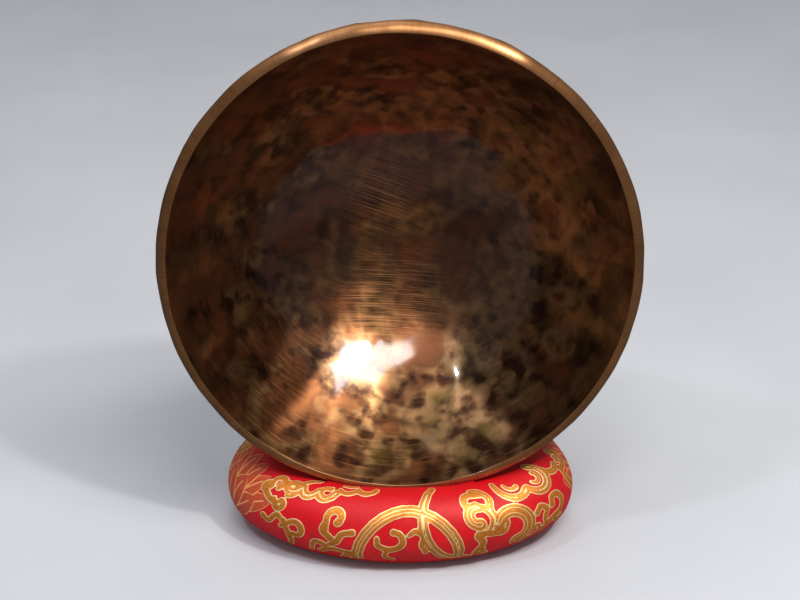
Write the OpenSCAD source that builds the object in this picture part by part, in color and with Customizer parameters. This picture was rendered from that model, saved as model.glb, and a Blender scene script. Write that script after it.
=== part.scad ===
// Hand-hammered singing bowl standing on edge, mouth forward, in a stuffed brocade ring cushion.
// The origin is on the table under the middle of the ring, +Z is up and the bowl's mouth faces -Y.

/* [Bowl] */
// Outer diameter of the rim
bowl_d = 240; // [220:5:260]
// Height from the outside of the base to the rim
bowl_h = 80; // [74:1:88]
// How full the curve is: 2 is a parabola, larger is a flatter base with steeper walls
fullness = 2.8; // [2.4:0.1:3.2]
// Radius of the lip, which is sharp inside and rounded over to the outside
lip_r = 5.2; // [4:0.2:6]
// Thickness of the metal at the middle of the base
base_t = 3.4; // [2.6:0.2:4]

/* [Standing] */
// How far the bowl leans back from upright, in degrees
lean = 10; // [8:1:12]
// Height of the rim's lowest point above the table
rest_h = 32; // [30:1:36]
// How far the rim's lowest point sits behind the crest of the front roll
set_back = 4; // [2:0.5:6]

/* [Cushion] */
// Width of the oval ring across its outside
ring_w = 179; // [170:1:190]
// Distance from the middle of the ring forward to its outside
ring_front = 60; // [57:0.5:64]
// Distance from the middle of the ring back to its outside
ring_back = 55; // [52:0.5:58]
// Width of the hole in the ring
hole_w = 86; // [76:1:92]
// Distance from the middle of the ring forward to the edge of the hole
hole_front = 14; // [10:0.5:18]
// Distance from the middle of the ring back to the edge of the hole
hole_back = 6; // [4:0.5:10]
// Height of the tube where the rim squashes it at the front
front_h = 34.4; // [33:0.2:36]
// Height of the tube at the sides
side_h = 43.4; // [41:0.2:48]
// Height of the tube at the back, where it stands up against the bowl
back_h = 63; // [56:1:66]
// Turn of the oval ring on the table, in degrees
ring_turn = -2; // [-4:0.5:4]
// Thickness of the brocade cover
cover_t = 0.8; // [0.6:0.1:1.2]

/* [Sewing] */
// Diameter of the sewing thread
thread_d = 0.8; // [0.6:0.1:1]
// Length of one stitch
stitch_l = 4; // [3:0.5:5]
// Number of whip stitches that close the stuffing hole in the long seam
closing_stitches_n = 16; // [10:1:20]
// Number of whip stitches around the seam that joins the tube's two ends
cross_stitches_n = 20; // [14:1:24]

/* [Hidden] */

// Free space between the metal and the brocade, and between the brocade and the filling
seat_gap = 0.8;
filling_gap = 0.3;
// The tube is sunk this far into the table and cut flat, which makes the face it rests on
footing = 1.2;

// Bowl: the inside is a power curve, and the metal thickens quickly towards the lip
mouth_r = bowl_d / 2 - lip_r;
bowl_depth = bowl_h - base_t;
lip_taper = 12;
curve_steps = 28;
lip_steps = 8;

function wall_z(r) = base_t + bowl_depth * pow(r / mouth_r, fullness);
function wall_slope(r) = atan(fullness * bowl_depth / mouth_r * pow(r / mouth_r, fullness - 1));

rim_slope = wall_slope(mouth_r);
lip_t = lip_r * (1 + cos(rim_slope));

function wall_t(r) = base_t + (lip_t - base_t) * pow(r / mouth_r, lip_taper);
function outside_pt(r, grow) =
    let (t = wall_t(r) + grow, a = wall_slope(r))
    [r + t * sin(a), wall_z(r) - t * cos(a)];

// Outline of the outside from the base's centre to the lip's sharp inner edge, grown by a margin
function outside_curve(grow, steps, lip_steps, last_r = mouth_r - lip_r / 2) = concat(
    [for (i = [0 : steps]) outside_pt(last_r * i / steps, grow)],
    [for (i = [0 : lip_steps])
        let (a = rim_slope - 90 + (180 - rim_slope) * i / lip_steps)
        [mouth_r + (lip_r + grow) * cos(a), bowl_h - lip_r + (lip_r + grow) * sin(a)]]
);
function inside_curve() = [for (i = [curve_steps : -1 : 0])
    let (r = mouth_r * i / curve_steps) [r, wall_z(r)]];

// Cushion: an oval ring whose tube changes from front to side to back
around = 48;
section = 20;
// Tube angle of the long seam, below the outside, and ring angle of the cross seam, behind
long_seam_b = -42;
cross_seam_a = 192;

// A point on an oval around the ring's middle, at ring angle a from the front
function oval(a, half_w, front, back) =
    [half_w * sin(a), -(cos(a) > 0 ? front : back) * cos(a)];
function outer_edge(a) = oval(a, ring_w / 2, ring_front, ring_back);
function hole_edge(a) = oval(a, hole_w / 2, hole_front, hole_back);
function outward(a) = (outer_edge(a) - hole_edge(a)) / norm(outer_edge(a) - hole_edge(a));
function tube_middle(a) = (outer_edge(a) + hole_edge(a)) / 2;
function tube_half_w(a) = norm(outer_edge(a) - hole_edge(a)) / 2;
function tube_half_h(a) =
    (side_h + footing + (front_h - side_h) * pow(max(cos(a), 0), 2)
        + (back_h - side_h) * pow(max(-cos(a), 0), 2)) / 2;

// A point of the tube's surface: a goes around the ring from the front, b around the tube from outside
function tube_pt(a, b, inset) =
    let (
        flat = tube_middle(a) + (tube_half_w(a) - inset) * cos(b) * outward(a),
        up = tube_half_h(a) - footing + (tube_half_h(a) - inset) * sin(b)
    )
    [flat.x, flat.y, up];

// A closed solid around the ring: pt(a, j) gives corner j of the cross-section at ring angle a
module ring_solid(corners, pt) {
    points = [for (i = [0 : around - 1], j = [0 : corners - 1]) pt(360 * i / around, j)];
    faces = [for (i = [0 : around - 1], j = [0 : corners - 1])
        let (
            here = i * corners,
            next = (i + 1) % around * corners,
            j2 = (j + 1) % corners
        )
        each [
            [here + j, here + j2, next + j2],
            [here + j, next + j2, next + j]
        ]];
    rotate([0, 0, ring_turn]) polyhedron(points, faces, convexity = 8);
}

module tube_ring(inset) {
    ring_solid(section, function(a, j) tube_pt(a, 360 * j / section, inset));
}

// The long seam, where the strip's two edges meet low on the outside all round the ring
module long_seam_slit() {
    half_slit = 0.5;
    cut = 2 * cover_t;
    ring_solid(4, function(a, j) tube_pt(
        a,
        long_seam_b + (j == 1 || j == 2 ? half_slit : -half_slit),
        j < 2 ? -cut : cut
    ));
}

// Places children at a point of the tube's surface, X outward along the ring's normal
module on_tube(a, b, inset) {
    rotate([0, 0, ring_turn])
        translate(tube_pt(a, b, inset))
            rotate([0, 0, atan2(outward(a).y, outward(a).x)])
                children();
}

// The cross seam, where the strip's two ends meet behind the bowl
module cross_seam_slit() {
    slit = 0.4;
    reach = 2 * back_h;
    on_tube(cross_seam_a, 0, tube_half_w(cross_seam_a))
        cube([2 * tube_half_w(cross_seam_a) + 4 * cover_t, slit, reach], center = true);
}

// Stands the bowl on its edge: its own axis runs up from the base to the mouth
module standing() {
    translate([
        0,
        tube_middle(0).y + set_back + bowl_d / 2 * sin(lean),
        rest_h + bowl_d / 2 * cos(lean)
    ])
        rotate([90 - lean, 0, 0])
            translate([0, 0, -bowl_h])
                children();
}

// The bowl as a filled solid with a margin around it: its seat in the cushion, open for lifting
module bowl_space(grow) {
    seat_steps = 10;
    seat_lip_steps = 3;
    standing()
        hull()
            rotate_extrude($fn = 48)
                polygon(concat(outside_curve(grow, seat_steps, seat_lip_steps), [[0, bowl_h + grow]]));
}

// The squashed ring, shrunk by an inset: flat underneath, with the bowl's seat pressed into it
module pressed_ring(inset) {
    table = 2 * ring_w;
    difference() {
        rotate([0, 0, ring_turn]) tube_ring(inset);
        translate([-table / 2, -table / 2, inset - table]) cube(table);
        bowl_space(seat_gap + inset);
    }
}

// One thread bar lying on the tube at ring angle a and tube angle b, turned by a slant
module stitch(a, b, slant) {
    lift = thread_d / 4;
    on_tube(a, b, -lift)
        rotate([0, -b, 0])
            rotate([slant, 0, 0])
                cylinder(h = stitch_l, d = thread_d, center = true, $fn = 16);
}

module bowl() {
    color("#7a5527")
        standing()
            rotate_extrude($fn = 96)
                polygon(concat(outside_curve(0, curve_steps, lip_steps), inside_curve()));
}

module cushion_cover() {
    color("crimson")
        difference() {
            pressed_ring(0);
            pressed_ring(cover_t);
            long_seam_slit();
            cross_seam_slit();
        }
}

module cushion_filling() {
    color("ivory") pressed_ring(cover_t + filling_gap);
}

// The stuffing hole is in the long seam, behind the bowl to the right
module closing_stitches() {
    hole_from = 118;
    hole_to = 152;
    color("firebrick")
        for (i = [0 : closing_stitches_n - 1])
            stitch(hole_from + (hole_to - hole_from) * i / (closing_stitches_n - 1), long_seam_b, 25);
}

// The stitches of the cross seam run over the outside and the top of the tube
module cross_seam_stitches() {
    from_b = -38;
    to_b = 88;
    color("firebrick")
        for (i = [0 : cross_stitches_n - 1])
            stitch(cross_seam_a, from_b + (to_b - from_b) * i / (cross_stitches_n - 1), 70);
}

bowl();
cushion_cover();
cushion_filling();
closing_stitches();
cross_seam_stitches();
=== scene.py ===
"""Looks of a hand-hammered bronze singing bowl standing on edge in a stuffed brocade ring cushion."""

import math

import bpy
import numpy as np
from mathutils import Matrix, Vector, noise


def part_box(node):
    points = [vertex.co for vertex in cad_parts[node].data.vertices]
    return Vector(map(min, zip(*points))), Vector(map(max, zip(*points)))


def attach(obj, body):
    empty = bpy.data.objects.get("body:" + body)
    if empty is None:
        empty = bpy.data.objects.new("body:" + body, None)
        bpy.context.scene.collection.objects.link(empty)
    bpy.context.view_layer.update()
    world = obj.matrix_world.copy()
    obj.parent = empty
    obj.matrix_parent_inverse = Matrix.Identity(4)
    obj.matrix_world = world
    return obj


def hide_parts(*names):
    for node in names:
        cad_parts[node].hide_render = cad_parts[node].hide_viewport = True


MM = 0.001

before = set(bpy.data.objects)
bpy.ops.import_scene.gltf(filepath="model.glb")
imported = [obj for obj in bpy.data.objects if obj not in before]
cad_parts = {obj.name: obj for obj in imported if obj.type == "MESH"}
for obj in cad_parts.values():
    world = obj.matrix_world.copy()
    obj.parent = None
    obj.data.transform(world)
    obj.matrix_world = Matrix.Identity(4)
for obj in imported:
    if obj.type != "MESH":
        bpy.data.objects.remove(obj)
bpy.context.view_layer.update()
bowl_low, bowl_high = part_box("bowl")
cover_low, cover_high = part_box("cushion_cover")
rng = np.random.default_rng(7)

# ---- Bowl, in its own frame: +Z from the base to the mouth ----
LEAN = math.radians(10)
RIM_R = (bowl_high.x - bowl_low.x) / 2
BOWL_H = RIM_R * 2 / 3
FULLNESS = 2.8
LIP_R = 5.2 * MM
BASE_T = 3.4 * MM
LIP_TAPER = 12
MOUTH_R = RIM_R - LIP_R
# Rows of its mesh: up the outside wall, around the lip, and down the inside after a short first step
BOWL_COLUMNS = 460
WALL_ROWS = 72
LIP_ROWS = 26
INSIDE_ROWS = 104
EDGE_STEP = 0.12 * MM
# The hammered skin gives way to the bare lip over this many rows on either side of the wall's last one
LIP_BLEND = 4
# Hammer blows: how many, how high the ridges between them stand, and how far from an edge they fade in
INNER_BLOWS = 210
INNER_RIDGE = 0.65 * MM
OUTER_BLOWS = 420
OUTER_RIDGE = 0.55 * MM
BLOW_FADE = 9 * MM
# Radius at which the wall's spots are neither stretched nor squeezed around the axis
POLAR_R = 55 * MM
# Colour factors in rings from the base to the lip, as (radius, colour factors): warmer in the middle, bluer
# on the wall, and the dark last one, just inside the lip, is painted shade
TONE_AND_SHADE_RINGS = (
    (0 * MM, (1.15, 1.05, 0.9)),
    (30 * MM, (0.86, 0.8, 0.72)),
    (64 * MM, (0.92, 1.0, 1.16)),
    (90 * MM, (1.0, 1.2, 1.5)),
    (112 * MM, (0.46, 0.54, 0.66)),
)

# ---- Cushion: an oval ring whose tube changes from front to side to back ----
RING_HALF_W = (cover_high.x - cover_low.x) / 2
RING_FRONT = -cover_low.y
RING_BACK = cover_high.y
HOLE_HALF_W = 43 * MM
HOLE_FRONT = 14 * MM
HOLE_BACK = 6 * MM
FRONT_H = 34.4 * MM
SIDE_H = 43.4 * MM
BACK_H = cover_high.z
FOOTING = 1.2 * MM
RING_TURN = math.radians(-2)
LONG_SEAM_B = math.radians(-42)
CROSS_SEAM_A = math.radians(192)
AROUND = 280
TUBE = 84
SEAT_GAP = 0.3 * MM
# The cloth starts this far inside its final shape, gathered towards the hole, and swells by so much at most
CLOTH_INSET = 0.9 * MM
GATHERS = 34
GATHER_DEPTH = 0.8 * MM
SWELL_LIMIT = 3.5 * MM
# The front roll rises by this much ahead of the rim
ROLL_RISE = 2.2 * MM

# ---- Brocade ----
# In millimetres on the cloth: the pattern's row height, the flower's middle, and what counts as far away
ROW_HEIGHT = 74
FLOWER_U = -97
FAR = 9.0
# The woven figures stand out from the satin by this much
FIGURE_RELIEF = 0.14 * MM

# ---- Sewing thread ----
THREAD_R = 0.4 * MM
THREAD_SIDES = 10
STITCH_STEPS = 16

# ---- Room: its light, and the dimmer light that the metal mirrors ----
ROOM_LIGHT = 0.46
MIRRORED_LIGHT = 0.11
FLOOR_HALF_W = 3.0


# ---------------------------------------------------------------- shader graphs


def linear(value):
    """The amount of light, 0 to 1, of a 0 to 255 display value."""
    if value < 11:
        return value / 255 / 12.92
    return ((value / 255 + 0.055) / 1.055) ** 2.4


def srgb(red, green, blue):
    """A colour from its 0 to 255 display values."""
    return (linear(red), linear(green), linear(blue), 1.0)


class Graph:
    """A material's node graph, built with short calls that return output sockets."""

    def __init__(self, name):
        self.material = bpy.data.materials.new(name)
        self.material.use_nodes = True
        self.tree = self.material.node_tree
        self.surface = self.tree.nodes["Principled BSDF"]

    def node(self, kind, inputs, output=0, **settings):
        made = self.tree.nodes.new("ShaderNode" + kind)
        for name, value in settings.items():
            setattr(made, name, value)
        for key, value in inputs.items():
            self.feed(made.inputs[key], value)
        return made.outputs[output]

    def feed(self, socket, value):
        if isinstance(value, bpy.types.NodeSocket):
            self.tree.links.new(value, socket)
        else:
            socket.default_value = value

    def set(self, **inputs):
        for name, value in inputs.items():
            self.feed(self.surface.inputs[name.replace("_", " ").title().replace("Ior", "IOR")], value)

    def object_place(self):
        return self.node("TexCoord", {}, output="Object")

    def attribute(self, name, output="Fac"):
        return self.node("Attribute", {}, output=output, attribute_name=name)

    def math(self, operation, a, b=0.0):
        return self.node("Math", {0: a, 1: b}, operation=operation)

    def add(self, a, b):
        return self.math("ADD", a, b)

    def times(self, a, b):
        return self.math("MULTIPLY", a, b)

    def vector(self, operation, a, b=(0, 0, 0), output=0):
        return self.node("VectorMath", {0: a, 1: b}, output=output, operation=operation)

    def fade(self, value, low, high, start=0.0, end=1.0):
        """Goes smoothly from start to end as the value goes from low to high."""
        return self.node(
            "MapRange", {0: value, 1: low, 2: high, 3: start, 4: end}, interpolation_type="SMOOTHSTEP"
        )

    def band(self, value, centre, half):
        """1 on a line of the value, 0 away from it."""
        off = self.math("ABSOLUTE", self.math("SUBTRACT", value, centre))
        return self.fade(off, half * 0.6, half * 1.4, 1.0, 0.0)

    def patch(self, vector, centre, inner, outer):
        """1 up to the inner distance from a point, 0 beyond the outer one."""
        away = self.vector("DISTANCE", vector, centre, output="Value")
        return self.fade(away, inner, outer, 1.0, 0.0)

    def between(self, factor, a, b):
        """A number that goes from a to b with the factor."""
        return self.node("Mix", {0: factor, 2: a, 3: b}, data_type="FLOAT")

    def mix(self, factor, a, b):
        """A colour that goes from a to b with the factor."""
        return self.node("Mix", {0: factor, 6: a, 7: b}, output=2, data_type="RGBA")

    def multiply(self, a, b):
        return self.node("Mix", {0: 1.0, 6: a, 7: b}, output=2, data_type="RGBA", blend_type="MULTIPLY")

    def noise(self, vector, scale, detail=2.0, roughness=0.5, distortion=0.0):
        return self.node("TexNoise", {
            "Vector": vector,
            "Scale": scale,
            "Detail": detail,
            "Roughness": roughness,
            "Distortion": distortion,
        })

    def blots(self, vector, scale):
        """Rounded soft-edged patches, each with its own random value from 0 to 0.25."""
        wander = self.node("TexNoise", {"Vector": vector, "Scale": scale * 0.8}, output="Color")
        wander = self.vector("MULTIPLY", wander, (0.35 / scale,) * 3)
        cells = {"Vector": self.vector("ADD", vector, wander), "Scale": scale, "Smoothness": 0.5}
        patches = self.node("TexVoronoi", cells, output="Color", feature="SMOOTH_F1")
        return self.times(self.node("SeparateColor", {0: patches}), 0.25)

    def stretched(self, vector, turn, scale):
        """Coordinates turned about Z, then scaled, for streaky patterns."""
        turned = self.node("VectorRotate", {"Vector": vector, "Angle": turn}, rotation_type="Z_AXIS")
        return self.vector("MULTIPLY", turned, scale)

    def ramp(self, factor, *stops):
        """Colours along the factor, as (place, colour)."""
        made = self.tree.nodes.new("ShaderNodeValToRGB")
        elements = made.color_ramp.elements
        while len(elements) < len(stops):
            elements.new(0.5)
        for element, (place, colour) in zip(elements, stops):
            element.position = place
            element.color = colour
        self.feed(made.inputs[0], factor)
        return made.outputs[0]

    def bump(self, height, distance, under=None):
        """Shading normals raised by a height, on top of another bump's if given."""
        inputs = {"Height": height, "Distance": distance, "Strength": 1.0}
        if under is not None:
            inputs["Normal"] = under
        return self.node("Bump", inputs)


# ---------------------------------------------------------------- meshes


def put_mesh(name, points, faces, material):
    """A smooth-shaded object of one material."""
    mesh = bpy.data.meshes.new(name)
    mesh.from_pydata(points.tolist(), [], faces)
    mesh.polygons.foreach_set("use_smooth", np.ones(len(mesh.polygons), bool))
    mesh.materials.append(material)
    piece = bpy.data.objects.new(name, mesh)
    bpy.context.scene.collection.objects.link(piece)
    return piece


def quads(rows, columns, closed_rows):
    """Faces of a grid of points that closes around its columns, and around its rows if asked."""
    last = rows if closed_rows else rows - 1
    i, j = np.meshgrid(np.arange(last), np.arange(columns), indexing="ij")
    i2, j2 = (i + 1) % rows, (j + 1) % columns
    corners = [i * columns + j, i2 * columns + j, i2 * columns + j2, i * columns + j2]
    return np.stack(corners, -1).reshape(-1, 4).tolist()


def store(piece, name, values):
    """Keeps one number or one vector per vertex for the material to read."""
    kind, field = ("FLOAT", "value") if values.ndim == 1 else ("FLOAT_VECTOR", "vector")
    attribute = piece.data.attributes.new(name, kind, "POINT")
    attribute.data.foreach_set(field, values.astype(np.float32).ravel())


def smooth_noise(points, scale, seed):
    """A smooth random value from -1 to 1 for each point of a grid; the seed picks another pattern."""
    offset = Vector((seed * 7.3, seed * 3.1, seed * 5.7))
    values = [noise.noise(Vector(p) / scale + offset) for p in points.reshape(-1, 3)]
    return np.array(values).reshape(points.shape[:-1])


def ease(value, low, high):
    """Goes smoothly from 0 to 1 as the value goes from low to high."""
    t = np.clip((value - low) / (high - low), 0, 1)
    return t * t * (3 - 2 * t)


# ---------------------------------------------------------------- bowl


def wall_height(r):
    return BASE_T + (BOWL_H - BASE_T) * (r / MOUTH_R) ** FULLNESS


def wall_slope(r):
    return np.arctan(FULLNESS * (BOWL_H - BASE_T) / MOUTH_R * (r / MOUTH_R) ** (FULLNESS - 1))


RIM_SLOPE = float(wall_slope(MOUTH_R))
LIP_T = LIP_R * (1 + math.cos(RIM_SLOPE))


def outside_line(steps, lip_steps, grow=0.0):
    """The outside from the middle of the base over the lip to its sharp inner edge, as (radius, height)."""
    r = (MOUTH_R - LIP_R / 2) * np.sqrt(np.linspace(0, 1, steps)) ** 1.2
    thickness = BASE_T + (LIP_T - BASE_T) * (r / MOUTH_R) ** LIP_TAPER + grow
    slope = wall_slope(r)
    wall = np.stack([r + thickness * np.sin(slope), wall_height(r) - thickness * np.cos(slope)], -1)
    turn = np.linspace(RIM_SLOPE - math.pi / 2, math.pi / 2, lip_steps)
    lip = np.stack([np.cos(turn), np.sin(turn)], -1) * (LIP_R + grow) + [MOUTH_R, BOWL_H - LIP_R]
    return np.concatenate([wall, lip])


def blow_centres(count, reach):
    """Hammer blows spread evenly over a disc, in a jittered sunflower order."""
    i = np.arange(count)
    r = reach * np.sqrt((i + 0.5) / count)
    turn = i * math.pi * (3 - math.sqrt(5)) + rng.normal(0, 0.12, count)
    r = r + rng.normal(0, reach * 0.018, count)
    return np.stack([r * np.cos(turn), r * np.sin(turn)], -1)


def blow_marks(x, y, centres, size, sharpness):
    """Height of the ridges left between shallow dishes, near 0 in a dish and about 1 on a ridge."""
    near = np.zeros_like(x)
    for cx, cy in centres:
        near += np.exp(-sharpness * ((x - cx) ** 2 + (y - cy) ** 2) / size**2)
    return -np.log(near) / sharpness * 2


def rim_middle():
    """The middle of the rim's plane, worked out from the CAD bowl's box."""
    return Vector((
        (bowl_low.x + bowl_high.x) / 2,
        bowl_low.y + LIP_R * (1 - math.cos(LEAN)) + MOUTH_R * math.sin(LEAN),
        (bowl_low.z + bowl_high.z) / 2 + LIP_R * math.sin(LEAN),
    ))


def bowl_matrix():
    """Stands the bowl on its edge, leaning back, where the CAD bowl is."""
    upright = Matrix.Rotation(math.pi / 2 - LEAN, 4, "X")
    return Matrix.Translation(rim_middle()) @ upright @ Matrix.Translation((0, 0, -BOWL_H))


def moved_by(matrix, points):
    """Points carried along by a 4 x 4 matrix."""
    matrix = np.array(matrix)
    return points @ matrix[:3, :3].T + matrix[:3, 3]


def bowl_line():
    """The bowl's outline from the outside of the base over the lip to the inside, without its two ends."""
    outside = outside_line(WALL_ROWS, LIP_ROWS)
    inner_r = MOUTH_R * (1 - np.linspace(0, 1, INSIDE_ROWS) ** 1.15)
    inner_r[0] -= EDGE_STEP
    inside = np.stack([inner_r, wall_height(inner_r)], -1)
    return np.concatenate([outside[1:], inside[:-1]])


def bowl_relief(points, r, is_inside, lip):
    """How far the hammered surface stands off the turned one at each point of the bowl."""
    x, y = points[..., 0], points[..., 1]
    inner_centres = blow_centres(INNER_BLOWS, MOUTH_R)
    outer_centres = blow_centres(OUTER_BLOWS, RIM_R)
    inner = INNER_RIDGE * blow_marks(x, y, inner_centres, size=15 * MM, sharpness=3)
    outer = OUTER_RIDGE * blow_marks(x, y, outer_centres, size=13 * MM, sharpness=7)
    slow = 0.35 * MM * smooth_noise(points, scale=30 * MM, seed=1)
    wavy = 0.22 * MM * smooth_noise(points, scale=11 * MM, seed=2)
    off_edge = ease(MOUTH_R - r, 0, BLOW_FADE)
    relief = np.where(is_inside, slow - inner * off_edge, slow + outer * (1 - lip))
    return relief * ease(r, 0, BLOW_FADE) + wavy * lip


def bowl_faces(rows):
    """Quads between the rows, and a fan of triangles to the middle of the base on either side."""
    count = rows * BOWL_COLUMNS
    ring = np.arange(BOWL_COLUMNS)
    after = (ring + 1) % BOWL_COLUMNS
    end = count - BOWL_COLUMNS
    outside_fan = np.stack([ring, after, np.full_like(ring, count)], -1)
    inside_fan = np.stack([end + after, end + ring, np.full_like(ring, count + 1)], -1)
    return quads(rows, BOWL_COLUMNS, False) + outside_fan.tolist() + inside_fan.tolist()


def bowl_piece():
    line = bowl_line()
    along = np.gradient(line, axis=0)
    along /= np.linalg.norm(along, axis=1, keepdims=True)
    across = np.stack([along[:, 1], -along[:, 0]], -1)
    turn = -np.arange(BOWL_COLUMNS) * 2 * math.pi / BOWL_COLUMNS
    r, a = np.meshgrid(line[:, 0], turn, indexing="ij")
    rows = np.arange(len(line))[:, None]
    is_inside = rows >= WALL_ROWS + LIP_ROWS - 1
    lip = ease(rows, WALL_ROWS - LIP_BLEND, WALL_ROWS + LIP_BLEND) * ~is_inside

    points = np.stack([r * np.cos(a), r * np.sin(a), np.broadcast_to(line[:, 1:], r.shape)], -1)
    relief = bowl_relief(points, r, is_inside, lip)
    points[..., 0] += relief * across[:, None, 0] * np.cos(a)
    points[..., 1] += relief * across[:, None, 0] * np.sin(a)
    points[..., 2] += relief * across[:, None, 1]

    base_middles = np.array([[0, 0, 0], [0, 0, BASE_T]])
    own = np.concatenate([points.reshape(-1, 3), base_middles])
    piece = put_mesh("bronze_bowl", moved_by(bowl_matrix(), own), bowl_faces(len(line)), bronze())
    store(piece, "own", own)
    store(piece, "lip", np.concatenate([np.broadcast_to(lip, r.shape).ravel(), [0, 0]]))
    return piece


def spotted(g, own, polar, wall):
    """Blotches of the patina: as wide as high on the base, and lying around the axis on the wall."""
    on_base = g.add(g.times(g.noise(own, 110, 3), 0.75), g.blots(own, 130))
    on_wall = g.add(g.times(g.noise(polar, 180, 3), 0.75), g.blots(polar, 190))
    return g.between(wall, on_base, on_wall)


def patina(g, own, r, spots):
    """Dark blotches on olive, tan, brown and orange metal, tinted in rings from the base to the lip; the last
    ring is painted shade just inside the lip, and the shift from orange on the left to olive on the right is
    partly a painted reflection.
    """
    # The hue runs from orange on the left to olive on the right: random tone plus a painted reflection of the
    # room.
    to_right = g.node("SeparateXYZ", {0: own})
    warmth = g.math("SUBTRACT", g.noise(own, 44), g.times(to_right, 1.2))
    olive, tan = srgb(146, 104, 50), srgb(200, 138, 82)
    brown, orange = srgb(142, 84, 46), srgb(168, 96, 52)
    body = g.ramp(warmth, (0.32, olive), (0.45, tan), (0.56, brown), (0.68, orange))
    depth = g.add(g.times(spots, 0.7), g.times(g.noise(own, 42), 0.3))
    contrast = g.fade(r, 30 * MM, 75 * MM, 0.5, 1.0)
    middle = 0.6
    off_middle = g.math("SUBTRACT", g.fade(depth, 0.36, 0.57), middle)
    clear = g.add(g.times(off_middle, contrast), middle)
    colour = g.mix(clear, srgb(74, 40, 22), body)
    # The rings tint the metal; the last one paints shade on the wall just inside the lip.
    rings = [(radius, (*tint, 1)) for radius, tint in TONE_AND_SHADE_RINGS]
    return g.multiply(colour, g.ramp(r, *rings))


def scratches(g, own, flat, polar):
    """Slanted scratches, scratches around the axis, and where the base's scratches are worn and painted
    bright as a glint of the light.
    """
    slanted = g.noise(g.stretched(own, math.radians(20), (30, 1400, 1)), 1.0, 2, 0.6)
    level = g.noise(g.stretched(own, math.radians(3), (26, 1700, 1)), 1.0, 2, 0.6)
    around = g.noise(g.vector("MULTIPLY", polar, (120, 120, 1500)), 1.0, 2, 0.6)
    above = g.patch(flat, (-8 * MM, 22 * MM, 0), 8 * MM, 34 * MM)
    below = g.patch(flat, (-5 * MM, -36 * MM, 0), 10 * MM, 38 * MM)
    # Scratched patches of the base: their wear, and a painted glint of the light on them.
    wear_and_glint_above = g.times(g.fade(slanted, 0.42, 0.72), above)
    wear_and_glint_below = g.times(g.fade(level, 0.42, 0.72), below)
    return slanted, around, g.math("MAXIMUM", wear_and_glint_above, wear_and_glint_below)


def bare_lip(g, own, round_about):
    """Brushed metal with a little tarnish."""
    brushed = g.noise(round_about, 190, 2, 0.6)
    colour = g.ramp(brushed, (0.3, srgb(158, 106, 64)), (0.7, srgb(184, 130, 84)))
    tarnish = g.ramp(g.noise(own, 60, 3), (0.35, (0.82, 0.8, 0.78, 1)), (0.6, (1, 1, 1, 1)))
    return g.multiply(colour, tarnish)


def brushed_direction(g, own, round_about, r):
    """The tangent that stretches highlights: along the radius on the wall, and near upright on the base."""
    slant = math.radians(14)
    upward = g.math("SIGN", g.node("SeparateXYZ", {0: own}, "Y"))
    radial = g.vector("MULTIPLY", round_about, g.node("CombineXYZ", {0: upward, 1: upward}))
    on_base = (math.sin(slant), math.cos(slant), 0)
    off_base = g.fade(r, 14 * MM, 34 * MM)
    across = g.node("Mix", {0: off_base, 4: on_base, 5: radial}, 1, data_type="VECTOR")
    standing = {"Vector": across, "Angle": math.pi / 2 - LEAN}
    return g.vector("NORMALIZE", g.node("VectorRotate", standing, rotation_type="X_AXIS"))


def bronze():
    """Hammered bell metal: mottled patina under a polished skin, fine scratches, and a bare brushed lip."""
    g = Graph("hammered_bronze")
    own = g.attribute("own", "Vector")
    lip = g.attribute("lip")
    flat = g.vector("MULTIPLY", own, (1, 1, 0))
    r = g.vector("LENGTH", flat, output="Value")
    round_about = g.vector("NORMALIZE", flat)
    level_circle = g.vector("MULTIPLY", round_about, (POLAR_R, POLAR_R, 0))
    polar = g.vector("ADD", level_circle, g.node("CombineXYZ", {"Z": r}))
    wall = g.fade(r, 30 * MM, 85 * MM)

    spots = spotted(g, own, polar, wall)
    slanted, around, wear_and_glint = scratches(g, own, flat, polar)
    # Bright tan on the scratched patches: partly wear, partly a painted glint.
    colour = g.mix(g.times(wear_and_glint, 0.75), patina(g, own, r, spots), srgb(214, 146, 94))
    # Lighter lines along the scratches around the axis: partly wear, partly a painted glint.
    colour = g.mix(g.times(g.fade(around, 0.58, 0.72), 0.22), colour, srgb(190, 130, 80))
    grain = g.between(wall, slanted, around)
    rough = g.add(g.fade(grain, 0.35, 0.65, 0.32, 0.42), g.times(wear_and_glint, 0.12))
    g.set(
        base_color=g.mix(lip, colour, bare_lip(g, own, round_about)),
        metallic=g.fade(lip, 0.0, 1.0, 1.0, 0.85),
        roughness=g.between(lip, rough, 0.34),
        anisotropic=g.fade(r, 35 * MM, 70 * MM, 0.3, 0.8),
        coat_weight=g.times(g.math("SUBTRACT", 1.0, lip), 0.9),
        coat_roughness=0.11,
        coat_ior=1.7,
        normal=g.bump(g.add(spots, g.times(grain, 0.35)), 0.03 * MM),
        tangent=brushed_direction(g, own, round_about, r),
    )
    return g.material


# ---------------------------------------------------------------- cushion shape


def oval(a, half_w, front, back):
    """A point of an oval at ring angle a, measured from the front."""
    return np.stack([half_w * np.sin(a), -np.where(np.cos(a) > 0, front, back) * np.cos(a)], -1)


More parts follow.
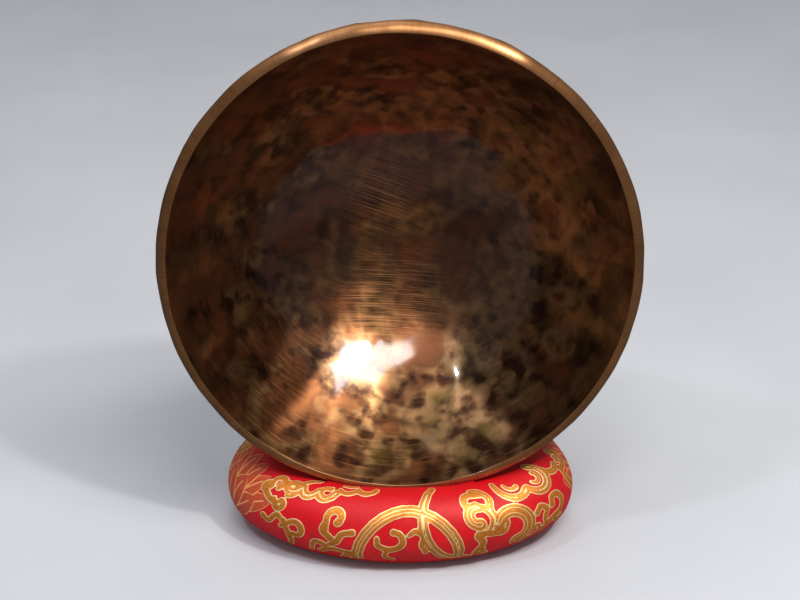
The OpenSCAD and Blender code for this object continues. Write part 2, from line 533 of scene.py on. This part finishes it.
def ring_points(a, b, inset=0.0):
    """Points of the tube's surface: a goes round the ring from the front, b round the tube from outside."""
    outer = oval(a, RING_HALF_W, RING_FRONT, RING_BACK)
    hole = oval(a, HOLE_HALF_W, HOLE_FRONT, HOLE_BACK)
    width = np.linalg.norm(outer - hole, axis=-1)
    outward = (outer - hole) / width[..., None]
    towards_front = np.maximum(np.cos(a), 0) ** 2
    towards_back = np.maximum(-np.cos(a), 0) ** 2
    half_h = (SIDE_H + FOOTING + (FRONT_H - SIDE_H) * towards_front + (BACK_H - SIDE_H) * towards_back) / 2
    flat = (outer + hole) / 2 + ((width / 2 - inset) * np.cos(b))[..., None] * outward
    up = half_h - FOOTING + (half_h - inset) * np.sin(b)
    x = flat[..., 0] * math.cos(RING_TURN) - flat[..., 1] * math.sin(RING_TURN)
    y = flat[..., 0] * math.sin(RING_TURN) + flat[..., 1] * math.cos(RING_TURN)
    return np.stack([x, y, up], -1)


def ring_angles(around, tube):
    """Angles of a grid whose first row is the cross seam and whose first column is the long seam."""
    a = CROSS_SEAM_A + np.arange(around) * 2 * math.pi / around
    b = LONG_SEAM_B + np.arange(tube) * 2 * math.pi / tube
    return np.meshgrid(a, b, indexing="ij")


def grid_normals(grid):
    """Outward normals of a closed surface at its points."""
    along = np.roll(grid, -1, 0) - np.roll(grid, 1, 0)
    around = np.roll(grid, -1, 1) - np.roll(grid, 1, 1)
    normals = np.cross(along, around)
    return normals / np.linalg.norm(normals, axis=-1, keepdims=True)


def relax(grid, weight, passes):
    """Moves each point towards the mean of its four neighbours, as far as its weight says."""
    for _ in range(passes):
        mean = (np.roll(grid, 1, 0) + np.roll(grid, -1, 0) + np.roll(grid, 1, 1) + np.roll(grid, -1, 1)) / 4
        grid = grid + (mean - grid) * weight[..., None]
    return grid


def doubled(grid):
    """The same closed surface with twice as many rows and columns."""
    for axis in (0, 1):
        p = [np.roll(grid, shift, axis) for shift in (1, 0, -1, -2)]
        between = (9 * (p[1] + p[2]) - p[0] - p[3]) / 16
        shape = list(grid.shape)
        shape[axis] *= 2
        grid = np.stack([grid, between], axis + 1).reshape(shape)
    return grid


def inflate(grid, sewn, cap, pressure=150.0, spare_cloth=0.03, frames=20):
    """Swells a closed tube of slightly too large cloth. Sewn points stay, and no point moves past its cap."""
    rows, columns = grid.shape[:2]
    cloth_piece = put_mesh("inflating", grid.reshape(-1, 3), quads(rows, columns, True), None)
    group = cloth_piece.vertex_groups.new(name="sewn")
    group.add(np.flatnonzero(sewn).tolist(), 1.0, "REPLACE")
    cloth = cloth_piece.modifiers.new("cloth", "CLOTH")
    cloth.settings.quality = 5
    cloth.settings.mass = 0.1
    cloth.settings.use_pressure = True
    cloth.settings.uniform_pressure_force = pressure
    cloth.settings.shrink_min = -spare_cloth
    cloth.settings.bending_stiffness = 0.3
    cloth.settings.vertex_group_mass = "sewn"
    cloth.settings.effector_weights.gravity = 0
    cloth.collision_settings.use_collision = False
    for step in range(1, frames + 1):
        bpy.context.scene.frame_set(step)
    swollen = cloth_piece.evaluated_get(bpy.context.evaluated_depsgraph_get()).data
    moved = np.zeros(rows * columns * 3, np.float32)
    swollen.vertices.foreach_get("co", moved)
    bpy.data.objects.remove(cloth_piece)
    bpy.context.scene.frame_set(1)
    shift = moved.reshape(grid.shape).astype(float) - grid
    length = np.linalg.norm(shift, axis=-1, keepdims=True)
    return grid + shift * np.minimum(1, cap[..., None] / np.maximum(length, 1e-9))


def clear_of_bowl(grid, gap, wall_rows=160, lip_rows=40):
    """Pushes points out of the bowl's outside, and returns them with how far each one was pushed."""
    own = moved_by(bowl_matrix().inverted(), grid)
    own_r = np.linalg.norm(own[..., :2], axis=-1)
    line = outside_line(wall_rows, lip_rows, gap)
    rising = line[:-lip_rows // 2]
    wall_r = np.interp(own[..., 2], rising[:, 1], rising[:, 0])
    hit = (own_r < wall_r) & (own[..., 2] > -gap) & (own[..., 2] < BOWL_H + gap)
    at = np.stack([own_r, own[..., 2]], -1)[hit]
    nearest = line[np.argmin(((at[:, None] - line[None]) ** 2).sum(-1), 1)]
    out = own.copy()
    scale = nearest[:, :1] / np.maximum(own_r[hit], 1e-6)[:, None]
    out[hit] = np.concatenate([own[hit][:, :2] * scale, nearest[:, 1:]], 1)
    push = np.linalg.norm(out - own, axis=-1)
    return moved_by(bowl_matrix(), out), push


def on_table(grid):
    """Lays the underside flat on the table."""
    grid[..., 2] = np.maximum(grid[..., 2], 0)
    return grid


def cushion_grid():
    """The cover's surface: swollen between its seams, flat on the table and pressed in by the bowl."""
    a, b = ring_angles(AROUND, TUBE)
    hole_side = np.clip(-np.cos(b), 0, 1) ** 1.5
    gathers = np.sin(GATHERS * a + 1.5 * np.sin(3 * a)) * hole_side * GATHER_DEPTH
    grid = ring_points(a, b, CLOTH_INSET + gathers)
    sewn = np.zeros(a.shape, bool)
    sewn[:, 0] = True
    sewn[0, :] = True
    grid = inflate(grid, sewn, SWELL_LIMIT * ease(np.sin(b), -0.95, 0.0))
    grid = relax(grid, np.full(a.shape, 0.5), 3)
    near_top = np.exp(-((b - math.radians(85)) / math.radians(38)) ** 2)
    grid[..., 2] += ROLL_RISE * ease(np.cos(a), 0.72, 1.0) * near_top
    for gap in (0.6 * MM, SEAT_GAP):
        grid, push = clear_of_bowl(on_table(grid), gap)
        near = ease(push, 0, 1 * MM)
        spread = relax(near[..., None], np.ones(a.shape), 10)[..., 0]
        grid = relax(grid, np.clip(spread * 1.5, 0, 0.6), 6)
    grid = doubled(on_table(grid))
    return clear_of_bowl(on_table(grid), SEAT_GAP)[0]


# ---------------------------------------------------------------- brocade, in millimetres on the cloth


def bend(points, steps=7):
    """A smooth line through the given points."""
    p = np.array(points, float)
    p = np.concatenate([[2 * p[0] - p[1]], p, [2 * p[-1] - p[-2]]])
    t = np.linspace(0, 1, steps, endpoint=False)[:, None]
    parts = [
        p[i] + 0.5 * t * (p[i + 1] - p[i - 1])
        + t**2 * (p[i - 1] - 2.5 * p[i] + 2 * p[i + 1] - 0.5 * p[i + 2])
        + t**3 * (1.5 * (p[i] - p[i + 1]) + 0.5 * (p[i + 2] - p[i - 1]))
        for i in range(1, len(p) - 2)
    ]
    return np.concatenate(parts + [p[-2:-1]])


def arc(u, v, radius, start, sweep):
    """Part of a circle around (u, v), from one angle over a sweep, in degrees."""
    turn = np.radians(np.linspace(start, start + sweep, max(6, int(abs(sweep) / 12))))
    return np.stack([u + radius * np.cos(turn), v + radius * np.sin(turn)], -1)


def hook(u, v, size, turn, flip=1):
    """A stem from (u, v) that curls over into a spiral; turn is the stem's heading in degrees."""
    t = np.linspace(0, 1, 16)
    heading = math.radians(turn)
    angle = math.pi - t * math.radians(235)
    radius = size * 0.5 * (1 - 0.35 * t)
    curl = np.stack([size * 0.5 + radius * np.cos(angle), size * 0.35 + radius * np.sin(angle)], -1)
    line = np.concatenate([[[0, -size * 0.35], [0, 0]], curl]) * [flip, 1]
    along = np.array([[math.cos(heading - math.pi / 2), math.sin(heading - math.pi / 2)]])
    across = np.array([[-along[0, 1], along[0, 0]]])
    return line[:, :1] * along + line[:, 1:] * across + [u, v]


def scallops(start, end, lobes, sag):
    """A chain of arcs hanging below the line between two points."""
    start, end = np.array(start, float), np.array(end, float)
    steps = np.linspace(0, lobes, lobes * 8 + 1)
    drop = sag * np.abs(np.sin(math.pi * steps)) ** 0.7
    return start + (end - start) * (steps / lobes)[:, None] - np.stack([0 * drop, drop], -1)


def clouds_left():
    """Ribbon cloud under the rim, branching curls, a fork and a hooked tendril, as (half width, line)."""
    return [
        (2.6, scallops((-66, 40.5), (-36, 40.0), 3, 4.2)),
        (1.9, scallops((-35, 43), (-13, 44.5), 2, 2.6)),
        (2.3, hook(-66, 38, 9, 50)),
        (1.7, bend([(-60, 38), (-58, 42), (-55, 45), (-50, 47.5)])),
        (1.8, bend([(-47, 38), (-44, 42), (-40, 42.5)])),
        (1.5, bend([(-34, 46.5), (-30, 46), (-26, 46.5)])),
        (2.0, hook(-73, 36.5, 6.5, 95)),
        (1.9, bend([(-73, 37), (-74, 33), (-70, 29.5), (-65, 28)])),
        (1.9, hook(-66, 28.5, 5.5, -60, -1)),
        (1.8, hook(-73, 31.5, 5.5, 165)),
        (1.9, bend([(-57, 3), (-54.5, 9), (-55, 15), (-58, 20.5)])),
        (1.9, hook(-56.5, 19, 9, 35)),
        (1.7, bend([(-58, 20), (-62, 22.5), (-66, 18), (-70, 19.5)])),
        (2.2, hook(-35.5, 24, 8.5, 95)),
        (2.1, bend([(-35.5, 25), (-36.5, 20.5), (-32.5, 16.5)])),
        (1.8, hook(-43, 8, 8, 75)),
        (1.9, bend([(-34, 12), (-29.5, 15), (-27, 19.5), (-22, 21)])),
        (1.8, bend([(-40, 5), (-33, 9.5), (-23, 9)])),
        (1.7, hook(-27, 4, 6, 60)),
    ]


def rings():
    """Two wide linked rings with a curl inside the first, as (half width, line)."""
    return [
        (3.1, arc(6, 7, 25.5, -30, 240)),
        (2.9, arc(38.5, 27, 25, 132, 153)),
        (1.9, bend([(-10, 19), (-9, 14.5), (-4, 12.5), (1, 13.5), (3.5, 17), (2, 21), (-1.5, 22)])),
        (1.7, bend([(6.5, 20.5), (10, 22.5), (13.5, 19.5), (12.5, 15), (14.5, 10.5)])),
        (1.6, bend([(-4, 12.5), (-5.5, 8), (-2, 4.5)])),
    ]


def clouds_right():
    """A large cloud scroll, a small cloud and two lobed sceptre heads, as (half width, line)."""
    return [
        (2.3, hook(44, 39, 8.5, 175, -1)),
        (2.4, bend([(43, 41.5), (48, 40.5), (51, 36), (49, 30)])),
        (3.2, arc(42, 28, 4.4, 60, 215)),
        (2.6, bend([(46, 32), (49, 29), (50, 25), (48, 20)])),
        (3.7, arc(59.5, 18.8, 8.8, 158, -235)),
        (2.2, bend([(48, 21), (53, 19.5), (55.5, 22)])),
        (2.3, hook(49, 17.5, 7, -5, -1)),
        (2.2, bend([(50, 19), (44, 18.5), (40.5, 18), (43, 13.5), (41.5, 9)])),
        (1.8, hook(43, 9.5, 5, -60)),
        (2.1, bend([
            (63, 8), (70, 8.5), (77, 11.5), (83, 15), (89, 16.5), (92, 21), (89.5, 26), (85, 26), (84, 22.5),
        ])),
        (1.9, bend([(79, 13), (78, 18), (80, 21.5), (76.5, 24.5), (73.5, 22)])),
        (1.6, bend([(75, 11.5), (73.5, 15), (70.5, 14.5)])),
        (1.6, bend([(84, 15), (87.5, 12), (91, 12.5)])),
        (2.4, arc(67.5, 42, 9.0, 165, 150)),
        (2.6, arc(82.5, 40, 8.2, 205, 215)),
        (1.5, arc(67.5, 42, 3.8, 180, 130)),
        (1.5, arc(82.5, 40, 3.2, 215, 190)),
        (2.2, arc(98, 43, 6.5, 195, 115)),
        (2.3, arc(107, 39, 5.8, 215, 200)),
        (1.4, arc(107, 39, 1.4, 215, 200)),
        (2.0, bend([(103, 33), (104, 27), (108, 21), (115, 16.5)])),
    ]


def lotus_petals():
    """Pointed petals that fan out in two rows: (middle u, middle v, length, width, heading in degrees)."""
    back_row = (14, 30, 11, (-64, -40, -20, 0, 20, 40, 64))
    front_row = (9, 22, 12, (-50, -17, 17, 50))
    petals = []
    for base_v, length, width, fan in (back_row, front_row):
        for tilt in fan:
            heading = math.radians(90 + tilt)
            middle = (length / 2 + 3) * np.array([math.cos(heading), math.sin(heading)])
            petals.append((FLOWER_U + middle[0], base_v + middle[1], length, width, 90 + tilt))
    return petals


def stroke_distance(uv, line, half_width):
    """Distance outside a stroke that tapers a little towards its ends; negative inside it."""
    best = np.full(len(uv), FAR)
    places = np.linspace(0, 1, len(line))
    widths = half_width * (0.75 + 0.25 * np.clip(np.sin(math.pi * places), 0, 1) ** 0.5)
    widths[-2:] = half_width * 1.05
    for p, q, w in zip(line[:-1], line[1:], widths):
        step = q - p
        t = np.clip(((uv - p) @ step) / max(step @ step, 1e-9), 0, 1)
        best = np.minimum(best, np.linalg.norm(uv - p - t[:, None] * step, axis=1) - w)
    return best


def petal_distance(uv, u, v, length, width, heading):
    """Rough distance to a pointed petal's outline, negative inside it, and to its middle vein."""
    turn = math.radians(heading)
    away = uv - [u, v]
    along = (away[:, 0] * math.cos(turn) + away[:, 1] * math.sin(turn)) / length
    across = (-away[:, 0] * math.sin(turn) + away[:, 1] * math.cos(turn)) / width
    edge = np.abs(across) - 0.5 * np.clip(1 - (2 * along) ** 2, 0, 1) ** 0.6
    outline = np.where(np.abs(along) < 0.5, edge * width, FAR)
    return outline, np.abs(across) * width + np.where(np.abs(along) < 0.35, 0, FAR)


def cloth_coordinates(around, tube):
    """Millimetres along the ring and around the tube from the long seam, for each point of the grid."""
    a, b = ring_angles(around, tube)
    line = ring_points(a[:, 0], np.full(around, math.radians(30)))
    steps = np.linalg.norm(np.roll(line, -1, 0) - line, axis=1)
    u = np.concatenate([[0], np.cumsum(steps)])[:-1]
    total_u = steps.sum()
    front = np.interp(2 * math.pi, a[:, 0], u)
    surface = ring_points(a, b)
    rise = np.linalg.norm(np.roll(surface, -1, 1) - surface, axis=2)
    v = np.concatenate([np.zeros((around, 1)), np.cumsum(rise, 1)[:, :-1]], 1)
    return np.stack([np.broadcast_to((u - front)[:, None], v.shape), v], -1) / MM, total_u / MM


def half_drop(total_u):
    """Where the pattern repeats: twice around the ring, with every other row shifted by half a repeat."""
    repeat = total_u / 2
    places = []
    for row in range(3):
        odd = row % 2
        for k in range(-1 - odd, 2):
            places.append(((k + odd / 2) * repeat, row * ROW_HEIGHT))
    return places


def brocade_fields(around, tube):
    """For each point: its place on the cloth, and its distances to the gold, the lotus and its veins."""
    place, total_u = cloth_coordinates(around, tube)
    uv = place.reshape(-1, 2)
    gold, lotus, vein = np.full((3, len(uv)), FAR)
    for shift in half_drop(total_u):
        for half_width, line in clouds_left() + rings() + clouds_right():
            line = line + shift
            low, high = line.min(0) - 5, line.max(0) + 5
            near = ((uv > low) & (uv < high)).all(1)
            if near.any():
                gold[near] = np.minimum(gold[near], stroke_distance(uv[near], line, half_width))
        for u, v, length, width, heading in lotus_petals():
            edge, middle = petal_distance(uv, u + shift[0], v + shift[1], length, width, heading)
            vein = np.where(edge < 0, np.minimum(np.abs(edge), middle), np.minimum(vein, np.abs(edge)))
            lotus = np.minimum(lotus, edge)
    return uv, gold, lotus, vein


def brocade():
    """Crimson satin with gold figures between cream outlines, and copper lotus flowers with pale veins."""
    g = Graph("brocade")
    place = g.attribute("cloth", "Vector")
    gold = g.attribute("gold")
    lotus = g.attribute("lotus")
    vein = g.attribute("vein")
    warp = g.noise(g.vector("MULTIPLY", place, (4.0, 0.25, 0)), 1.0, 2, 0.6)
    weft = g.noise(g.vector("MULTIPLY", place, (0.4, 5.0, 0)), 1.0, 2, 0.6)
    dye = g.noise(g.vector("MULTIPLY", place, (0.05, 0.05, 0)), 1.0, 2)
    crimson = g.mix(g.fade(warp, 0.3, 0.7), srgb(190, 4, 14), srgb(216, 9, 20))
    crimson = g.multiply(crimson, g.ramp(dye, (0.35, (0.88, 0.86, 0.86, 1)), (0.65, (1, 1, 1, 1))))

    in_gold = g.fade(gold, -0.12, 0.12, 1.0, 0.0)
    outline = g.math("MAXIMUM", g.band(gold, -0.28, 0.26), g.band(gold, -2.25, 0.18))
    cream = g.times(outline, in_gold)
    thread_gold = g.mix(g.fade(weft, 0.35, 0.65), srgb(202, 98, 24), srgb(236, 154, 62))
    figure = g.mix(cream, thread_gold, srgb(255, 222, 158))

    in_lotus = g.fade(lotus, -0.12, 0.12, 1.0, 0.0)
    petal = g.mix(g.fade(weft, 0.35, 0.65), srgb(172, 58, 34), srgb(196, 84, 50))
    petal = g.mix(g.band(vein, 0.1, 0.35), petal, srgb(222, 146, 82))
    colour = g.mix(in_lotus, crimson, petal)
    colour = g.mix(in_gold, colour, figure)

    raised = g.math("MAXIMUM", in_gold, g.times(in_lotus, 0.6))
    weave = g.bump(g.add(g.times(warp, 0.5), g.times(weft, 0.5)), 0.05 * MM)
    g.set(
        base_color=colour,
        metallic=g.times(in_gold, 0.6),
        roughness=g.between(raised, 0.5, 0.46),
        specular_ior_level=0.9,
        sheen_weight=g.times(g.math("SUBTRACT", 1.0, raised), 0.05),
        sheen_roughness=0.35,
        sheen_tint=srgb(255, 150, 160),
        specular_tint=g.mix(in_gold, srgb(255, 150, 150), srgb(255, 236, 190)),
        normal=g.bump(raised, 0.12 * MM, weave),
    )
    return g.material


def seam_pull(uv, a):
    """How deep the long seam and the cross seam draw the cloth in, at each point of the grid."""
    u, v = uv[..., 0], uv[..., 1]
    from_long = np.minimum(v, v.max(1, keepdims=True) - v)
    long_pull = 1.0 * MM * np.exp(-(from_long / 1.3) ** 2) * (0.8 + 0.3 * np.sin(u * 1.1))
    mm_per_radian = 60
    from_cross = np.abs((a - CROSS_SEAM_A + math.pi) % (2 * math.pi) - math.pi) * mm_per_radian
    return long_pull + 0.9 * MM * np.exp(-(from_cross / 1.4) ** 2)


def cover_piece(grid):
    """The brocade with its woven relief and its seams, and the grid of its surface."""
    around, tube = grid.shape[:2]
    uv, gold, lotus, vein = brocade_fields(around, tube)
    a, _ = ring_angles(around, tube)
    raised = FIGURE_RELIEF * ease(-np.minimum(gold, lotus), -0.2, 0.4).reshape(around, tube)
    off_table = ease(grid[..., 2], 0, 2 * MM)
    lift = (raised - seam_pull(uv.reshape(around, tube, 2), a)) * off_table
    grid = grid + grid_normals(grid) * lift[..., None]
    grid, _ = clear_of_bowl(on_table(grid), SEAT_GAP)
    piece = put_mesh("brocade_cover", grid.reshape(-1, 3), quads(around, tube, True), brocade())
    store(piece, "cloth", np.concatenate([uv, np.zeros((len(uv), 1))], 1))
    for name, field in (("gold", gold), ("lotus", lotus), ("vein", vein)):
        store(piece, name, np.clip(field, -6, 6))
    return piece, grid


def wadding():
    """Loose cream cotton stuffing."""
    g = Graph("wadding")
    fluff = g.noise(g.object_place(), 240, 5, 0.65, 0.8)
    g.set(
        base_color=g.ramp(fluff, (0.35, srgb(214, 204, 184)), (0.65, srgb(244, 238, 224))),
        roughness=0.95,
        sheen_weight=0.3,
        normal=g.bump(fluff, 0.6 * MM),
    )
    return g.material


def filling_piece(grid):
    """The stuffing, a little inside the cover."""
    inside = grid[::2, ::2]
    inside = inside - grid_normals(inside) * 2.2 * MM
    inside[..., 2] = np.maximum(inside[..., 2], 1.0 * MM)
    rows, columns = inside.shape[:2]
    return put_mesh("cotton_wadding", inside.reshape(-1, 3), quads(rows, columns, True), wadding())


# ---------------------------------------------------------------- sewing thread


def thread():
    """Dark red sewing thread."""
    g = Graph("sewing_thread")
    fibre = g.noise(g.vector("MULTIPLY", g.object_place(), (1800, 1800, 1800)), 1.0, 2)
    g.set(
        base_color=g.ramp(fibre, (0.3, srgb(128, 8, 18)), (0.7, srgb(176, 20, 30))),
        roughness=0.5,
        sheen_weight=0.3,
        normal=g.bump(fibre, 0.03 * MM),
    )
    return g.material


def surface_point(grid, normals, a, b):
    """The cover's surface point and normal at ring angle a and tube angle b."""
    rows, columns = grid.shape[:2]
    i = (a - CROSS_SEAM_A) / (2 * math.pi) * rows
    j = (b - LONG_SEAM_B) / (2 * math.pi) * columns
    i0, j0 = math.floor(i), math.floor(j)
    point, normal = np.zeros(3), np.zeros(3)
    for di, wi in ((0, 1 - i + i0), (1, i - i0)):
        for dj, wj in ((0, 1 - j + j0), (1, j - j0)):
            at = ((i0 + di) % rows, (j0 + dj) % columns)
            point += wi * wj * grid[at]
            normal += wi * wj * normals[at]
    return point, normal / np.linalg.norm(normal)


def stitch_path(grid, normals, stitch):
    """Places and normals along a stitch that comes out of the cloth, crosses the seam and dives back in."""
    a, b, along_ring, around_tube = stitch
    path = []
    for k in range(STITCH_STEPS + 1):
        s = k / STITCH_STEPS - 0.5
        point, normal = surface_point(grid, normals, a + along_ring * s, b + around_tube * s)
        lift = THREAD_R * (2.6 * max(math.cos(math.pi * s), 0) ** 0.6 - 1.5)
        path.append((point + normal * lift, normal))
    return path


def thread_points(path):
    """Corners of a twisted two-ply thread that follows a path."""
    points = []
    for k, (point, normal) in enumerate(path):
        ahead = path[min(k + 1, STITCH_STEPS)][0] - path[max(k - 1, 0)][0]
        ahead = ahead / np.linalg.norm(ahead)
        side = np.cross(ahead, normal)
        side /= np.linalg.norm(side)
        up = np.cross(side, ahead)
        for m in range(THREAD_SIDES):
            turn = 2 * math.pi * m / THREAD_SIDES
            ply = THREAD_R * (1 + 0.16 * math.cos(2 * turn - k * 1.1))
            points.append(point + (side * math.cos(turn) + up * math.sin(turn)) * ply)
    return points


def thread_piece(name, grid, stitches):
    """A row of whip stitches, each (ring angle, tube angle, reach along the ring, reach around the tube)."""
    normals = grid_normals(grid)
    sides = range(THREAD_SIDES)
    last = STITCH_STEPS * THREAD_SIDES
    one_thread = quads(STITCH_STEPS + 1, THREAD_SIDES, False)
    one_thread += [list(reversed(sides)), [last + m for m in sides]]
    points, faces = [], []
    for stitch in stitches:
        first = len(points)
        points += thread_points(stitch_path(grid, normals, stitch))
        faces += [[first + corner for corner in face] for face in one_thread]
    return put_mesh(name, np.array(points), faces, thread())


def closing_stitches():
    """Along the long seam, behind the bowl to the right."""
    places = np.radians(np.linspace(118, 152, 16))
    along_ring, around_tube = math.radians(1.6), math.radians(9)
    return [(a, LONG_SEAM_B, along_ring, around_tube) for a in places]


def cross_stitches():
    """Around the cross seam, over the outside and the top of the tube."""
    places = np.radians(np.linspace(-34, 88, 20))
    along_ring, around_tube = math.radians(5), math.radians(3)
    return [(CROSS_SEAM_A, b, along_ring, around_tube) for b in places]


# ---------------------------------------------------------------- stage, lights and camera


def floor():
    """A plain pale floor, darker where the metal mirrors it, as in a dim room."""
    g = Graph("pale_floor")
    tone = g.noise(g.object_place(), 6, 3)
    pale = g.ramp(tone, (0.3, srgb(184, 184, 186)), (0.7, srgb(192, 192, 194)))
    mirrored = g.node("LightPath", {}, output="Is Glossy Ray")
    g.set(base_color=g.mix(mirrored, pale, srgb(70, 70, 74)), roughness=0.8)
    corners = FLOOR_HALF_W * np.array([(-1, -1, 0), (1, -1, 0), (1, 1, 0), (-1, 1, 0)])
    piece = put_mesh("floor", corners, [(0, 1, 2, 3)], g.material)


def softbox(name, direction, distance, size, power, colour=(1, 1, 1)):
    """An area light that faces the middle of the bowl's rim from a direction."""
    lamp = bpy.data.lights.new(name, "AREA")
    lamp.shape = "RECTANGLE"
    lamp.size, lamp.size_y = size
    lamp.energy = power
    lamp.color = colour
    light = bpy.data.objects.new(name, lamp)
    heading = Vector(direction).normalized()
    light.location = rim_middle() + heading * distance
    light.rotation_euler = heading.to_track_quat("Z", "Y").to_euler()
    bpy.context.scene.collection.objects.link(light)


def lights():
    """A pale room and four softboxes, whose highlights in the bowl lie about where the photo's do."""
    world = bpy.data.worlds.new("studio")
    world.use_nodes = True
    tree = world.node_tree
    room = tree.nodes["Background"]
    room.inputs["Color"].default_value = (0.80, 0.84, 0.90, 1)
    path = tree.nodes.new("ShaderNodeLightPath")
    strength = tree.nodes.new("ShaderNodeMapRange")
    strength.inputs["To Min"].default_value = ROOM_LIGHT
    strength.inputs["To Max"].default_value = MIRRORED_LIGHT
    tree.links.new(path.outputs["Is Glossy Ray"], strength.inputs["Value"])
    tree.links.new(strength.outputs[0], room.inputs["Strength"])
    bpy.context.scene.world = world
    near, high = 1.1, 1.3
    bluish = (0.72, 0.82, 1.0)
    softbox("key", (0.445, -0.414, 0.794), near, size=(0.09, 0.07), power=5)
    softbox("front", (0.24, -0.40, 0.88), near, size=(0.9, 0.26), power=9)
    softbox("window", (-0.42, -0.30, 0.87), near, size=(0.12, 0.05), power=2.5, colour=bluish)
    softbox("overhead", (-0.25, 0.35, 1.0), high, size=(1.2, 0.7), power=4.5)


def camera():
    """An 85 mm lens on a 36 mm sensor, above and in front of the rim."""
    distance = 0.9235
    elevation = math.radians(25.85)
    pitch = math.radians(26.84)
    lens = bpy.data.cameras.new("camera")
    lens.lens = 85
    lens.sensor_width = 36
    seen = bpy.data.objects.new("camera", lens)
    seen.location = rim_middle() + Vector((0, -math.cos(elevation), math.sin(elevation))) * distance
    seen.rotation_euler = (math.pi / 2 - pitch, 0, 0)
    bpy.context.scene.collection.objects.link(seen)
    bpy.context.scene.camera = seen


# ---------------------------------------------------------------- the scene


def build():
    """Makes every piece, and ties each one to the body that it moves with."""
    bowl = bowl_piece()
    grid = cushion_grid()
    cover, grid = cover_piece(grid)
    filling = filling_piece(grid)
    closing = thread_piece("closing_thread", grid, closing_stitches())
    cross = thread_piece("cross_seam_thread", grid, cross_stitches())
    for piece, body, node, slot in (
        (bowl, "bowl", "bowl", "bronze"),
        (cover, "cushion", "cushion_cover", "brocade"),
        (filling, "cushion", "cushion_filling", "wadding"),
        (closing, "cushion", "closing_stitches", "thread"),
        (cross, "cushion", "cross_seam_stitches", "thread"),
    ):
        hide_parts(node)
        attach(piece, body)


build()
floor()
lights()
camera()
bpy.context.scene.view_settings.view_transform = "Standard"
